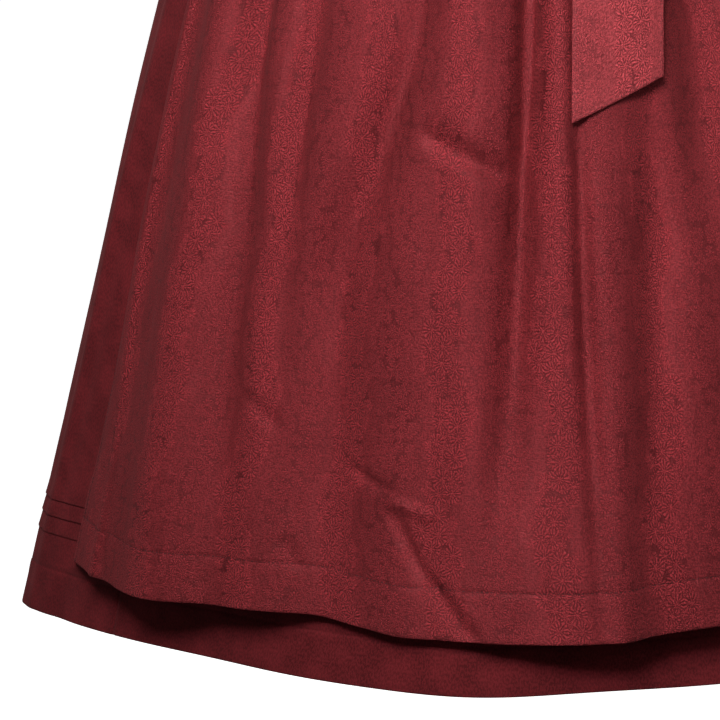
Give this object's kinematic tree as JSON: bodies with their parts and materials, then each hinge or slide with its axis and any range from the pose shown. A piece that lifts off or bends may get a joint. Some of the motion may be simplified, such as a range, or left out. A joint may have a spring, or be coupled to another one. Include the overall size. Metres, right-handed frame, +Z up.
{
  "type": "dirndl dress with a tied apron",
  "caption": "Sleeveless dirndl with a fitted bodice, a gathered skirt with tucks above the hem, and a tied floral damask apron with a bow, filled out as when worn.",
  "frame": {"origin": "middle of the waist seam, in the hollow that the wearer's waist fills", "axes": "+Z up along the wearer's body, -Y to the front, +X to the wearer's left"},
  "size_m": [0.6885, 0.6051, 1.1051],
  "materials": {
    "skirt_cloth": "matt wine-red cotton twill",
    "apron_cloth": "tone-on-tone wine-red floral damask with a satin sheen",
    "ribbon_cloth": "the apron's damask, topstitched at the edges",
    "bodice_cloth": "matt wine-red cotton twill",
    "button_metal": "satin antique pewter"
  },
  "bodies": {
    "root": {"skirt_front": "skirt_cloth", "skirt_side_left": "skirt_cloth", "skirt_back": "skirt_cloth", "skirt_side_right": "skirt_cloth", "apron_panel": "apron_cloth", "apron_waistband": "apron_cloth", "tie_left": "ribbon_cloth", "tie_right": "ribbon_cloth", "bow_knot": "ribbon_cloth", "bow_loop_left": "ribbon_cloth", "bow_loop_right": "ribbon_cloth", "bow_tail_long": "ribbon_cloth", "bow_tail_short": "ribbon_cloth", "bodice_front_left": "bodice_cloth", "bodice_front_right": "bodice_cloth", "bodice_side_front_left": "bodice_cloth", "bodice_side_front_right": "bodice_cloth", "bodice_side_back_left": "bodice_cloth", "bodice_side_back_right": "bodice_cloth", "bodice_back": "bodice_cloth", "strap_left": "bodice_cloth", "strap_right": "bodice_cloth", "button_placket": "bodice_cloth", "button_1": "button_metal", "button_2": "button_metal", "button_3": "button_metal", "button_4": "button_metal", "button_5": "button_metal", "button_6": "button_metal"}
  },
  "joints": []
}
